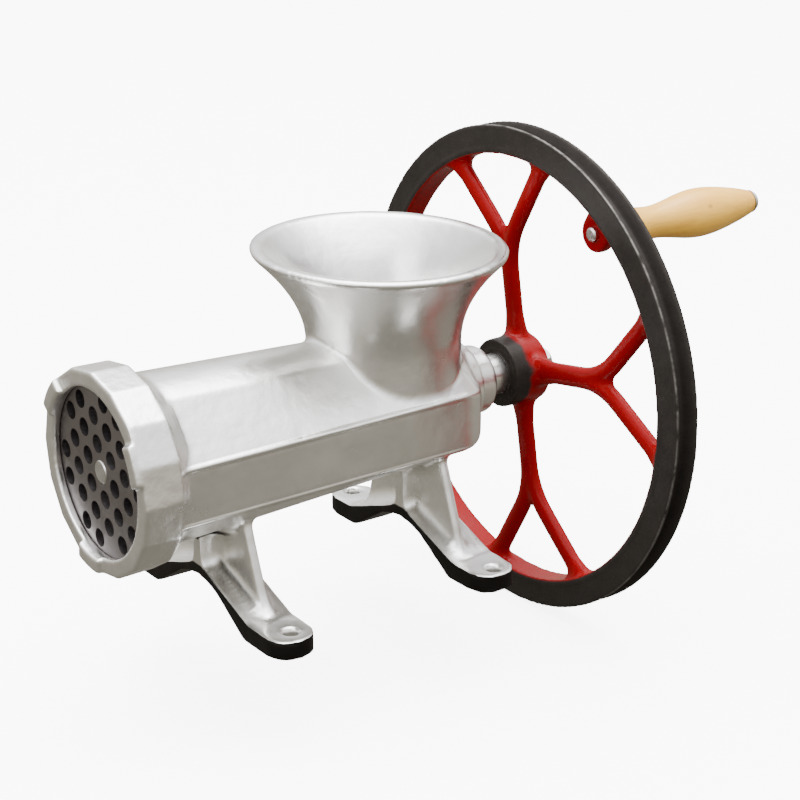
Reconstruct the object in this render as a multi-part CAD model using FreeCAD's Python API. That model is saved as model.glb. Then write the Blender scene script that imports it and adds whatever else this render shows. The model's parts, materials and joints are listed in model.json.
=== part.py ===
import FreeCAD, Part

import math
import os

from FreeCAD import Vector

# A large hand-cranked meat grinder with a flywheel pulley on its shaft.
# Millimetres. The origin is the centre of the four foot holes, on the underside of the feet.
# +X runs along the shaft from the outlet to the wheel, and +Z is up.

X_AXIS = Vector(1, 0, 0)
Y_AXIS = Vector(0, 1, 0)
Z_AXIS = Vector(0, 0, 1)

# ---------------------------------------------------------------- fits and clearances
RUNNING_GAP = 0.05  # radial, shafts and pins that turn in their holes
SEAT_GAP = 0.02  # radial, pieces pressed or screwed together
THREAD_GAP = 0.05  # radial, between the ring nut's bore and the barrel's thread
FACE_GAP = 0.2  # between faces that turn past each other
SQUARE_GAP = 0.1  # each side of a square drive
BOLT_GAP = 0.4  # radial, washers on their bolts

# ---------------------------------------------------------------- the shaft line
SHAFT_HEIGHT = 94.0  # shaft axis above the underside of the feet
MOUTH_X = -134.5  # front face of the barrel
BODY_REAR_X = 87.0  # rear face of the barrel casting
BOSS_END_X = 109.7  # rear face of the bearing boss
HUB_START_X = 121.9  # near face of the wheel hub

# ---------------------------------------------------------------- cutting plate, knife and stud
PLATE_RADIUS = 49.25
PLATE_THICKNESS = 8.0
PLATE_PROUD = 1.2  # the plate stands out of the mouth, so that the nut clamps it
PLATE_HOLE_RADIUS = 5.0
PLATE_HOLE_PITCH = 15.0
PLATE_HOLE_REACH = PLATE_RADIUS - 9.25  # holes centred within this radius
PLATE_HOLE_TURN = 20.0  # degrees from +Y to the first row of holes
PLATE_SIDE_GAP = 0.3
RECESS_RADIUS = PLATE_RADIUS + PLATE_SIDE_GAP
STUD_RADIUS = 6.25
STUD_PROUD = 0.6
STUD_THREAD = 14.0  # length screwed into the feed screw
PIN_RADIUS = 2.5
PIN_ANGLE = -90.0
PIN_LENGTH = 12.0
KNIFE_THICKNESS = 12.0
KNIFE_RADIUS = PLATE_RADIUS - 4.65
KNIFE_HUB_RADIUS = 15.0
KNIFE_ARMS = 4
KNIFE_ARM_WIDTH = 17.0
KNIFE_EDGE_WIDTH = 7.0
KNIFE_SQUARE = 16.0

# ---------------------------------------------------------------- ring nut
THREAD_RADIUS = RECESS_RADIUS + 2.75
THREAD_LENGTH = 18.0
NUT_LENGTH = 23.3
NUT_LIP = 4.6
NUT_OPENING_RADIUS = PLATE_RADIUS - 3.25
NUT_FRONT_RADIUS = THREAD_RADIUS + 4.1
NUT_REAR_RADIUS = THREAD_RADIUS + 3.5
NUT_FLATS = 16
NUT_FLAT_TURN = 2.8
NUT_EDGE_ROUND = 1.1
NUT_LUGS = 3
NUT_LUG_TURN = 38.0
NUT_LUG_HEIGHT = 3.2
NUT_LUG_WIDTH = 22.0
NUT_LUG_INNER = NUT_OPENING_RADIUS + 0.6
NUT_LUG_ROUND = 1.2

# ---------------------------------------------------------------- barrel
BARREL_FRONT_RADIUS = 47.9
BARREL_REAR_RADIUS = 39.0
HEAD_FLARE_LENGTH = 8.0  # cone from the thread down to the barrel
BAND_TOP = 10.0  # upper edge of the side band, above the shaft
BAND_BOTTOM = -22.0  # lower edge of the side band
BAND_FRONT_HALF = 48.6  # half width over the bands at the mouth
BAND_REAR_HALF = 43.6
BAND_LOWER_FRONT_HALF = 46.6
BAND_LOWER_REAR_HALF = 43.2
CREASE_ANGLE = 60.0  # where the round top meets the slanted flank
BELLY_ANGLE = -52.0  # where the lower flank meets the round belly
BAND_ROUND = 3.0
DOME_LENGTH = 19.0  # the barrel's rear end rounds over within this length
DOME_SCALE = 0.62  # size of the flat rear face against the barrel's full section
DOME_SECTIONS = 6
CHAMBER_RADIUS = KNIFE_RADIUS + 1.0  # room for the knife
BORE_FRONT_RADIUS = 41.5
BORE_REAR_RADIUS = BORE_FRONT_RADIUS - 7.0
REAR_WALL = 16.5
RECESS_SPARE = 0.4

# ---------------------------------------------------------------- rear boss and bearing
SHAFT_RADIUS = 12.0
BUSHING_RADIUS = SHAFT_RADIUS + 3.2
BOSS_RADIUS = BUSHING_RADIUS + 4.8
BOSS_COLLAR_RADIUS = BOSS_RADIUS + 7.5
BOSS_COLLAR_END_RADIUS = BOSS_RADIUS + 5.0
BOSS_COLLAR_LENGTH = 8.7
BOSS_NOSE_LENGTH = 3.0
BOSS_NOSE_RADIUS = BOSS_RADIUS - 2.5
THRUST_RADIUS = SHAFT_RADIUS + 7.0
THRUST_THICKNESS = 2.0

# ---------------------------------------------------------------- hopper
RIM_HEIGHT = 91.9  # above the shaft
RIM_LIP = 3.0  # upright edge around the rim
RIM_CENTRE_X = 40.0
RIM_HALF_X = 69.0
RIM_HALF_Y = 76.5
THROAT_HEIGHT = 35.0  # above the shaft, where the flare starts
THROAT_CENTRE_X = 42.5
THROAT_HALF_X = 41.2
THROAT_HALF_Y = 41.2
THROAT_SQUARENESS = 2.4  # exponent of the throat's outline; 2 is an ellipse
FLARE_POWER = 2.0
HOPPER_WALL = 5.0
FLARE_SECTIONS = 6
OVAL_POINTS = 24

# ---------------------------------------------------------------- feet and legs
FOOT_SPACING_X = 134.0
FOOT_SPACING_Y = 140.0
FOOT_HOLE_RADIUS = 4.5
FOOT_THICKNESS = 10.4
FOOT_WIDTH = 27.6
FOOT_SHIFT = -1.2  # the pads sit this far forward of their holes
FOOT_TOE_ROUND = 12.5
FOOT_HEEL_Y = 46.0  # inner edge of the flat underside
FOOT_TOP_HEEL_Y = 52.0  # where the slope starts on top
ARCH_HEIGHT = 21.0
ARCH_RADIUS = 44.0
STRIP_TOP_HEIGHT = 27.5  # top of the strip beside the stem
STEM_HALF = 4.0
STEM_ROUND = 7.0
WEB_THICKNESS = 6.0
WEB_KNEE = (42.0, 26.0)
WEB_TOE_HEIGHT = 9.0
FRONT_LEGS = (0.0, 57.0, 13.2)  # the web's offset along X, its reach in Y, and hole to toe
REAR_LEGS = (-4.0, 53.0, 10.5)
WEB_TOP_HALF = 27.0
WEB_TOP_HEIGHT = SHAFT_HEIGHT - 27.0

# ---------------------------------------------------------------- feed screw
SCREW_CORE_FRONT = 16.0
SCREW_CORE_REAR = 19.0
SCREW_SIDE_GAP = 1.0
SCREW_PITCH = 46.0
SCREW_ROOT_WIDTH = 10.0
SCREW_TIP_WIDTH = 5.0
SCREW_TAIL = 9.0  # plain collar behind the thread
SCREW_COLLAR_RADIUS = SHAFT_RADIUS + 6.0
WHEEL_SQUARE = SHAFT_RADIUS * 1.416
WHEEL_BOLT_RADIUS = 5.0
WHEEL_BOLT_DEPTH = 24.0

# ---------------------------------------------------------------- flywheel
RIM_RADIUS = 144.0
RIM_INNER_RADIUS = RIM_RADIUS - 17.0
RIM_WIDTH = 15.6
RIM_CENTRE_OFFSET = 18.7  # from the hub's near face
GROOVE_WIDTH = 11.4
GROOVE_DEPTH = 8.0
GROOVE_BOTTOM = 4.0
HUB_RADIUS = 20.3
HUB_LENGTH = 24.9
SPOKES = 4
SPOKE_TURN = 9.5  # degrees from -Y towards +Z
SPOKE_PLANE_OFFSET = 17.7  # from the hub's near face
BRANCH_HALF_WIDTH = 5.7  # oval section of each branch, across the wheel's plane
BRANCH_HALF_DEPTH = 4.0  # and along the shaft
BRANCH_OFFSET = 0.8  # the two branches lie this far each side of the stem's centre line
FORK_RADIUS = RIM_RADIUS * 0.403  # distance from the shaft where the branches part
FORK_BEND = 45.0
FORK_TURN = 40.0  # degrees each branch turns away from the stem
ROOT_FLARE = ((16.0, 9.5, 5.4), (34.0, 6.3, 4.0))  # radius, half width and half depth
TIP_FLARE_LENGTH = 9.0
TIP_FLARE = 1.45  # how much the branch swells where it meets the rim
EAR_ANGLE = 58.0  # degrees from -Y towards +Z
CRANK_RADIUS = RIM_RADIUS - 34.4
EAR_RADIUS = 10.8
EAR_THICKNESS = 7.0
EAR_START = 22.3  # from the hub's near face

# ---------------------------------------------------------------- wheel fastening
WHEEL_WASHER_RADIUS = 14.0
WHEEL_WASHER_THICKNESS = 2.5
SPRING_WASHER_RADIUS = 9.0
SPRING_WASHER_THICKNESS = 2.4
SPRING_WASHER_SLOT = 1.6
WHEEL_HEAD_ACROSS_FLATS = 17.0
WHEEL_HEAD_HEIGHT = 6.4

# ---------------------------------------------------------------- crank handle
HANDLE_BOLT_RADIUS = 4.0
HANDLE_BOLT_TIP = 2.5  # how far the bolt's end stands out of the ear
LOCK_NUT_THICKNESS = 5.0
LOCK_NUT_ACROSS_FLATS = 13.0
SLEEVE_RADIUS = 5.2  # steel tube inside the grip
GRIP_WASHER_RADIUS = 9.5
GRIP_WASHER_THICKNESS = 1.6
GRIP_LENGTH = 103.5
GRIP_COLLAR_RADIUS = 10.8
GRIP_NECK_RADIUS = 9.4
GRIP_BELLY_RADIUS = 13.9
GRIP_SHOULDER_RADIUS = 11.9
GRIP_END_RADIUS = 6.7
GRIP_COLLAR_AT = 7.0
GRIP_NECK_AT = 26.0
GRIP_BELLY_AT = 59.0
GRIP_SHOULDER_AT = 82.0
END_WASHER_RADIUS = 6.6
END_WASHER_THICKNESS = 1.0
BOLT_HEAD_RADIUS = 5.9
BOLT_HEAD_HEIGHT = 2.2

# ---------------------------------------------------------------- places worked out from the sizes
PLATE_FRONT_X = MOUTH_X - PLATE_PROUD
PLATE_BACK_X = PLATE_FRONT_X + PLATE_THICKNESS
RECESS_FLOOR_X = PLATE_BACK_X + RECESS_SPARE
NUT_FRONT_X = PLATE_FRONT_X - NUT_LIP
NUT_REAR_X = NUT_FRONT_X + NUT_LENGTH
KNIFE_FRONT_X = PLATE_BACK_X + FACE_GAP
KNIFE_BACK_X = KNIFE_FRONT_X + KNIFE_THICKNESS
SCREW_FRONT_X = KNIFE_BACK_X
REAR_WALL_X = BODY_REAR_X - REAR_WALL
THREAD_END_X = MOUTH_X + THREAD_LENGTH
STEEL_WASHER_X = REAR_WALL_X - FACE_GAP - THRUST_THICKNESS
FIBRE_WASHER_X = STEEL_WASHER_X - FACE_GAP - THRUST_THICKNESS
COLLAR_END_X = FIBRE_WASHER_X - FACE_GAP
SCREW_END_X = COLLAR_END_X - SCREW_TAIL
HUB_END_X = HUB_START_X + HUB_LENGTH
SQUARE_END_X = HUB_END_X - 1.0
RIM_START_X = HUB_START_X + RIM_CENTRE_OFFSET - RIM_WIDTH / 2
SPOKE_X = HUB_START_X + SPOKE_PLANE_OFFSET
EAR_START_X = HUB_START_X + EAR_START
EAR_END_X = EAR_START_X + EAR_THICKNESS
CRANK_Y = -CRANK_RADIUS * math.cos(math.radians(EAR_ANGLE))
CRANK_Z = SHAFT_HEIGHT + CRANK_RADIUS * math.sin(math.radians(EAR_ANGLE))
GRIP_START_X = EAR_END_X + LOCK_NUT_THICKNESS + GRIP_WASHER_THICKNESS + FACE_GAP
GRIP_END_X = GRIP_START_X + GRIP_LENGTH
END_WASHER_X = GRIP_END_X + FACE_GAP
BOLT_HEAD_X = END_WASHER_X + END_WASHER_THICKNESS


# ---------------------------------------------------------------- shape helpers
def between(start, end, share):
    """The value that lies the given share of the way from start to end."""
    return start + (end - start) * share


def round_bar(radius, x0, x1, end_radius=None, y=0.0, z=SHAFT_HEIGHT):
    """A cylinder or cone along X, on the shaft's axis unless a place is given."""
    base = Vector(x0, y, z)
    if end_radius is None:
        return Part.makeCylinder(radius, x1 - x0, base, X_AXIS)
    return Part.makeCone(radius, end_radius, x1 - x0, base, X_AXIS)


def washer(outer, inner, x0, thickness, y=0.0, z=SHAFT_HEIGHT):
    """A flat ring that faces along X."""
    disc = round_bar(outer, x0, x0 + thickness, y=y, z=z)
    return disc.cut(round_bar(inner, x0 - 1, x0 + thickness + 1, y=y, z=z))


def prism(points, x0, x1):
    """A polygon of (y, z) points, carried along X from x0 to x1."""
    corners = [Vector(x0, y, z) for y, z in points]
    face = Part.Face(Part.makePolygon(corners + corners[:1]))
    return face.extrude(Vector(x1 - x0, 0, 0))


def bar_on_axis(across, x0, x1, sides, turn=0.0, y=0.0, z=SHAFT_HEIGHT):
    """A square or hexagonal bar along X, by its size across flats."""
    corner = across / 2 / math.cos(math.pi / sides)
    angles = [math.radians(turn) + 2 * math.pi * side / sides for side in range(sides)]
    return prism([(y + corner * math.cos(a), z + corner * math.sin(a)) for a in angles], x0, x1)


def at_crank(shape_of, *sizes):
    """One of the shapes above, placed on the handle bolt's axis."""
    return shape_of(*sizes, y=CRANK_Y, z=CRANK_Z)


def turned(shape, degrees):
    """A copy of the shape turned about the shaft, from +Y towards +Z."""
    copy = shape.copy()
    copy.rotate(Vector(0, 0, SHAFT_HEIGHT), X_AXIS, degrees)
    return copy


def edges_along_x(shape):
    """The straight edges that run along X."""
    found = []
    for edge in shape.Edges:
        if isinstance(edge.Curve, Part.Line) and abs(edge.tangentAt(edge.FirstParameter).x) > 0.999:
            found.append(edge)
    return found


def edges_on_plane(shape, x):
    """The edges that lie wholly at one X."""
    return [e for e in shape.Edges if abs(e.BoundBox.XMin - x) < 0.01 and abs(e.BoundBox.XMax - x) < 0.01]


def spun(outline):
    """A solid of revolution about the shaft, from (x, radius) points."""
    corners = [Vector(x, 0, SHAFT_HEIGHT + radius) for x, radius in outline]
    face = Part.Face(Part.makePolygon(corners + corners[:1]))
    return face.revolve(Vector(0, 0, SHAFT_HEIGHT), X_AXIS, 360)


def save(name, shape):
    """Write one node's STEP file."""
    solids = len(shape.Solids)
    print(f"{name}: {solids} solid(s), {shape.Volume / 1000:.1f} cm3, valid {shape.isValid()}")
    shape.exportStep(f"parts/{name}.step")


# ---------------------------------------------------------------- grinder body
def rounded_corner(before, corner, after, radius):
    """Start, middle and end of the arc that rounds the corner between two straight runs."""
    back = (before - corner).normalize()
    ahead = (after - corner).normalize()
    half_angle = back.getAngle(ahead) / 2
    reach = radius / math.tan(half_angle)
    towards_centre = (back + ahead).normalize()
    middle = corner + towards_centre * (radius / math.sin(half_angle) - radius)
    return corner + back * reach, middle, corner + ahead * reach


def barrel_section(x, scale=1.0):
    """The barrel's outline at x: round top and belly, and a flat band along each side."""
    share = (x - MOUTH_X) / (BODY_REAR_X - MOUTH_X)
    radius = between(BARREL_FRONT_RADIUS, BARREL_REAR_RADIUS, share)
    upper = between(BAND_FRONT_HALF, BAND_REAR_HALF, share)
    lower = between(BAND_LOWER_FRONT_HALF, BAND_LOWER_REAR_HALF, share)

    def at(y, z):
        return Vector(x, y * scale, SHAFT_HEIGHT + z * scale)

    def on_circle(degrees):
        angle = math.radians(degrees)
        return at(radius * math.cos(angle), radius * math.sin(angle))

    crease, belly = on_circle(CREASE_ANGLE), on_circle(BELLY_ANGLE)
    ridge, keel = at(upper, BAND_TOP), at(lower, BAND_BOTTOM)
    first = rounded_corner(crease, ridge, keel, BAND_ROUND * scale)
    second = rounded_corner(ridge, keel, belly, BAND_ROUND * scale)
    right = [crease, *first, *second, belly]
    left = [Vector(x, -point.y, point.z) for point in reversed(right)]
    edges = [Part.Arc(left[-1], on_circle(90), crease).toShape()]
    edges += flank_edges(right)
    edges.append(Part.Arc(belly, on_circle(-90), left[0]).toShape())
    edges += flank_edges(left)
    return Part.Wire(edges)


def flank_edges(points):
    """Straight, rounded ridge, straight, rounded ridge, straight."""
    return [
        Part.LineSegment(points[0], points[1]).toShape(),
        Part.Arc(*points[1:4]).toShape(),
        Part.LineSegment(points[3], points[4]).toShape(),
        Part.Arc(*points[4:7]).toShape(),
        Part.LineSegment(points[6], points[7]).toShape(),
    ]


def barrel_outside():
    """The tapering barrel with soft-edged bands and a domed rear end."""
    dome_start = BODY_REAR_X - DOME_LENGTH
    solid = Part.makeLoft([barrel_section(THREAD_END_X - 3), barrel_section(dome_start)], True, True)
    loops = []
    for section in range(DOME_SECTIONS + 1):
        angle = math.radians(90 * section / DOME_SECTIONS)
        scale = 1 - (1 - DOME_SCALE) * (1 - math.cos(angle))
        loops.append(barrel_section(dome_start + DOME_LENGTH * math.sin(angle), scale))
    return solid.fuse(Part.makeLoft(loops, True, True))


def barrel_head():
    """The threaded head and the cone behind it."""
    flare_end = THREAD_END_X + HEAD_FLARE_LENGTH
    share = (flare_end - MOUTH_X) / (BODY_REAR_X - MOUTH_X)
    end_radius = between(BARREL_FRONT_RADIUS, BARREL_REAR_RADIUS, share) - 0.5
    thread = round_bar(THREAD_RADIUS, MOUTH_X, THREAD_END_X)
    return thread.fuse(round_bar(THREAD_RADIUS, THREAD_END_X, flare_end, end_radius))


def oval(centre_x, height, half_x, half_y, power):
    """A closed loop between an ellipse and a rounded rectangle, at a height above the shaft."""
    points = []
    for step in range(OVAL_POINTS):
        angle = 2 * math.pi * step / OVAL_POINTS
        along = math.copysign(abs(math.cos(angle)) ** (2 / power), math.cos(angle))
        across = math.copysign(abs(math.sin(angle)) ** (2 / power), math.sin(angle))
        points.append(Vector(centre_x + half_x * along, half_y * across, SHAFT_HEIGHT + height))
    curve = Part.BSplineCurve()
    curve.interpolate(points, PeriodicFlag=True)
    return Part.Wire(curve.toShape())


def hopper_shell(inset, bottom, lip, overshoot=0.0):
    """The trumpet, drawn in by inset, from bottom up to the rim, with an upright lip at its edge."""
    throat = [THROAT_HALF_X - inset, THROAT_HALF_Y - inset]
    lower = Part.makeLoft(
        [oval(THROAT_CENTRE_X, h, *throat, THROAT_SQUARENESS) for h in (bottom, THROAT_HEIGHT)],
        True,
        True,
    )
    loops = []
    for section in range(FLARE_SECTIONS + 1):
        share = section / FLARE_SECTIONS
        spread = share**FLARE_POWER
        wall = inset * (1 + 0.35 * spread)
        loops.append(
            oval(
                between(THROAT_CENTRE_X, RIM_CENTRE_X, spread),
                between(THROAT_HEIGHT, RIM_HEIGHT - lip, share),
                between(THROAT_HALF_X, RIM_HALF_X, spread) - wall,
                between(THROAT_HALF_Y, RIM_HALF_Y, spread) - wall,
                between(THROAT_SQUARENESS, 2.0, share),
            )
        )
    flare = Part.makeLoft(loops, True, False)
    edge = Part.Face(loops[-1]).extrude(Vector(0, 0, lip + overshoot))
    return lower.fuse(flare).fuse(edge)


def arch_void(x0, x1):
    """The space under a pair of legs: a round crown with straight, sloping sides."""
    centre_z = ARCH_HEIGHT - ARCH_RADIUS
    reach = math.hypot(FOOT_HEEL_Y, centre_z)
    angle = math.atan2(-centre_z, FOOT_HEEL_Y) + math.acos(ARCH_RADIUS / reach)
    touch = (ARCH_RADIUS * math.cos(angle), centre_z + ARCH_RADIUS * math.sin(angle))
    right, left = Vector(x0, touch[0], touch[1]), Vector(x0, -touch[0], touch[1])
    crown = Vector(x0, 0, ARCH_HEIGHT)
    heels = [Vector(x0, -FOOT_HEEL_Y, 0), Vector(x0, FOOT_HEEL_Y, 0)]
    low = [Vector(x0, FOOT_HEEL_Y, -5), Vector(x0, -FOOT_HEEL_Y, -5)]
    edges = [
        Part.LineSegment(heels[0], left).toShape(),
        Part.Arc(left, crown, right).toShape(),
        Part.LineSegment(right, heels[1]).toShape(),
        Part.LineSegment(heels[1], low[0]).toShape(),
        Part.LineSegment(low[0], low[1]).toShape(),
        Part.LineSegment(low[1], heels[0]).toShape(),
    ]
    return Part.Face(Part.Wire(edges)).extrude(Vector(x1 - x0, 0, 0))


def leg_pair(centre_x, web_shift, web_reach, toe):
    """Two feet on an arched strip, with a stem and a thin web up to the barrel."""
    toe_y = FOOT_SPACING_Y / 2 + toe
    x0, x1 = centre_x + FOOT_SHIFT - FOOT_WIDTH / 2, centre_x + FOOT_SHIFT + FOOT_WIDTH / 2
    right = [
        (STEM_HALF, WEB_TOP_HEIGHT),
        (STEM_HALF, STRIP_TOP_HEIGHT),
        (FOOT_TOP_HEEL_Y, FOOT_THICKNESS),
        (toe_y, FOOT_THICKNESS),
        (toe_y, 0),
    ]
    strip = prism(right + [(-y, z) for y, z in reversed(right)], x0, x1)
    corners = [e for e in edges_along_x(strip) if abs(e.CenterOfMass.z - STRIP_TOP_HEIGHT) < 0.1]
    strip = strip.makeFillet(STEM_ROUND, corners)
    toes = []
    for edge in strip.Edges:
        upright = edge.BoundBox.ZLength > FOOT_THICKNESS - 0.1 and edge.BoundBox.YLength < 0.01
        if upright and edge.BoundBox.XLength < 0.01 and abs(edge.CenterOfMass.y) > toe_y - 0.1:
            toes.append(edge)
    strip = strip.makeFillet(FOOT_TOE_ROUND, toes)

    knee_y, knee_z = WEB_KNEE
    web_x = centre_x + web_shift - WEB_THICKNESS / 2
    spots = {}
    for side in (1, -1):
        top = Vector(web_x, side * WEB_TOP_HALF, WEB_TOP_HEIGHT)
        knee = Vector(web_x, side * knee_y, knee_z)
        bend_y, bend_z = between(knee_y, web_reach, 0.36), between(knee_z, WEB_TOE_HEIGHT, 0.6)
        bend = Vector(web_x, side * bend_y, bend_z)
        spots[side] = (top, knee, bend, Vector(web_x, side * web_reach, WEB_TOE_HEIGHT))
    edges = []
    for top, knee, bend, heel in spots.values():
        edges.append(Part.LineSegment(top, knee).toShape())
        edges.append(Part.Arc(knee, bend, heel).toShape())
    edges.append(Part.LineSegment(spots[1][0], spots[-1][0]).toShape())
    edges.append(Part.LineSegment(spots[1][3], spots[-1][3]).toShape())
    web = Part.Face(Part.Wire(Part.__sortEdges__(edges))).extrude(Vector(WEB_THICKNESS, 0, 0))
    pair = strip.fuse(web).cut(arch_void(x0 - 1, x1 + 1))
    for side in (1, -1):
        hole_base = Vector(centre_x, side * FOOT_SPACING_Y / 2, -1)
        pair = pair.cut(Part.makeCylinder(FOOT_HOLE_RADIUS, FOOT_THICKNESS + 2, hole_base, Z_AXIS))
    return pair


def rear_boss():
    """The stepped bearing boss behind the barrel."""
    collar_end = BODY_REAR_X + BOSS_COLLAR_LENGTH
    nose_start = BOSS_END_X - BOSS_NOSE_LENGTH
    collar = round_bar(BOSS_COLLAR_RADIUS, BODY_REAR_X - 6, collar_end, BOSS_COLLAR_END_RADIUS)
    barrel = round_bar(BOSS_RADIUS, BODY_REAR_X - 6, nose_start)
    nose = round_bar(BOSS_RADIUS, nose_start, BOSS_END_X, BOSS_NOSE_RADIUS)
    return collar.fuse([barrel, nose])


def grinder_body():
    """The one-piece casting: barrel, hopper, boss and legs."""
    outside = barrel_outside().fuse(barrel_head())
    outside = outside.fuse(hopper_shell(0.0, 2.0, RIM_LIP))
    outside = outside.fuse(rear_boss())
    outside = outside.fuse(leg_pair(-FOOT_SPACING_X / 2, *FRONT_LEGS))
    outside = outside.fuse(leg_pair(FOOT_SPACING_X / 2, *REAR_LEGS))
    hollows = [
        round_bar(RECESS_RADIUS, MOUTH_X - 1, RECESS_FLOOR_X),
        round_bar(CHAMBER_RADIUS, RECESS_FLOOR_X - 1, SCREW_FRONT_X),
        round_bar(BORE_FRONT_RADIUS, SCREW_FRONT_X - 1, REAR_WALL_X, BORE_REAR_RADIUS),
        round_bar(BUSHING_RADIUS + SEAT_GAP, REAR_WALL_X - 1, BOSS_END_X + 1),
        hopper_shell(HOPPER_WALL, 6.0, 0.0, overshoot=5.0),
        pin_shape(PIN_RADIUS + SEAT_GAP),
    ]
    body = outside
    for hollow in hollows:
        body = body.cut(hollow)
    return body.removeSplitter()


def rear_bushing():
    """Bronze sleeve pressed into the boss."""
    return washer(BUSHING_RADIUS, SHAFT_RADIUS + RUNNING_GAP, REAR_WALL_X, BOSS_END_X - REAR_WALL_X)


# ---------------------------------------------------------------- outlet end
def pin_shape(radius):
    """The plate's locating pin, half in the recess wall, at the bottom of the mouth."""
    angle = math.radians(PIN_ANGLE)
    centre = RECESS_RADIUS - 0.6
    y, z = centre * math.cos(angle), SHAFT_HEIGHT + centre * math.sin(angle)
    return round_bar(radius, PLATE_FRONT_X + 2.5, PLATE_FRONT_X + 2.5 + PIN_LENGTH, y=y, z=z)


def ring_nut():
    """The screwed ring: an inner lip, shallow flats outside and lugs for a spanner."""
    loops = []
    for x, radius in ((NUT_FRONT_X, NUT_FRONT_RADIUS), (NUT_REAR_X, NUT_REAR_RADIUS)):
        corners = []
        for flat in range(NUT_FLATS):
            angle = math.radians(NUT_FLAT_TURN + 360 / NUT_FLATS * flat)
            corners.append(Vector(x, radius * math.cos(angle), SHAFT_HEIGHT + radius * math.sin(angle)))
        loops.append(Part.makePolygon(corners + corners[:1]))
    solid = Part.makeLoft(loops, True, True)
    solid = solid.makeFillet(NUT_EDGE_ROUND, edges_on_plane(solid, NUT_FRONT_X))
    solid = solid.makeFillet(NUT_EDGE_ROUND, edges_on_plane(solid, NUT_REAR_X))
    lug_tip = NUT_FRONT_X - NUT_LUG_HEIGHT
    lug_outer = NUT_FRONT_RADIUS - NUT_EDGE_ROUND
    band = round_bar(lug_outer, lug_tip, NUT_FRONT_X + 3)
    band = band.cut(round_bar(NUT_LUG_INNER, lug_tip - 1, NUT_FRONT_X + 4))
    half = NUT_LUG_WIDTH / 2
    for lug in range(NUT_LUGS):
        block = Part.makeBox(
            NUT_LUG_HEIGHT + 3, NUT_LUG_WIDTH, lug_outer + 5, Vector(lug_tip, -half, SHAFT_HEIGHT + 20)
        )
        pad = block.common(band)
        pad = pad.makeFillet(NUT_LUG_ROUND, edges_on_plane(pad, lug_tip))
        solid = solid.fuse(turned(pad, NUT_LUG_TURN - 90 + 360 / NUT_LUGS * lug))
    solid = solid.cut(round_bar(NUT_OPENING_RADIUS, NUT_FRONT_X - 10, NUT_REAR_X))
    solid = solid.cut(round_bar(THREAD_RADIUS + THREAD_GAP, PLATE_FRONT_X, NUT_REAR_X + 1))
    return solid.removeSplitter()


def cutting_plate():
    """The perforated disc with its notch for the pin."""
    plate = washer(PLATE_RADIUS, STUD_RADIUS + RUNNING_GAP, PLATE_FRONT_X, PLATE_THICKNESS)
    rows = int(PLATE_HOLE_REACH / PLATE_HOLE_PITCH) + 2
    drills = []
    for row in range(-rows, rows + 1):
        for step in range(-2 * rows, 2 * rows + 1):
            along = PLATE_HOLE_PITCH * (step + row / 2)
            across = PLATE_HOLE_PITCH * row * math.sqrt(3) / 2
            if 1 < math.hypot(along, across) < PLATE_HOLE_REACH:
                drills.append(
                    round_bar(
                        PLATE_HOLE_RADIUS,
                        PLATE_FRONT_X - 1,
                        PLATE_BACK_X + 1,
                        y=along,
                        z=SHAFT_HEIGHT + across,
                    )
                )
    plate = plate.cut([turned(drill, PLATE_HOLE_TURN) for drill in drills])
    return plate.cut(pin_shape(PIN_RADIUS + PLATE_SIDE_GAP))


def knife():
    """Four arms that sweep the plate's back, on a hub with a square hole."""
    hub = round_bar(KNIFE_HUB_RADIUS, KNIFE_FRONT_X, KNIFE_BACK_X)
    half = KNIFE_ARM_WIDTH / 2
    section = [
        Vector(KNIFE_FRONT_X, half - KNIFE_EDGE_WIDTH, SHAFT_HEIGHT),
        Vector(KNIFE_FRONT_X, half, SHAFT_HEIGHT),
        Vector(KNIFE_BACK_X - 2, half - 3, SHAFT_HEIGHT),
        Vector(KNIFE_BACK_X - 2, -half + 1, SHAFT_HEIGHT),
        Vector(KNIFE_FRONT_X + 5, -half, SHAFT_HEIGHT),
    ]
    face = Part.Face(Part.makePolygon(section + section[:1]))
    arm = face.extrude(Vector(0, 0, KNIFE_RADIUS + 5))
    arm = arm.common(round_bar(KNIFE_RADIUS, KNIFE_FRONT_X, KNIFE_BACK_X))
    solid = hub.fuse([turned(arm, 360 / KNIFE_ARMS * number) for number in range(KNIFE_ARMS)])
    hole = bar_on_axis(KNIFE_SQUARE + 2 * SQUARE_GAP, KNIFE_FRONT_X - 1, KNIFE_BACK_X + 1, 4, 45)
    return solid.cut(hole).removeSplitter()


def plate_stud():
    """The hardened stud that runs in the plate's centre hole."""
    start = PLATE_FRONT_X - STUD_PROUD
    stud = round_bar(STUD_RADIUS, start, KNIFE_FRONT_X + STUD_THREAD)
    return stud.makeChamfer(0.5, edges_on_plane(stud, start))


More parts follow.
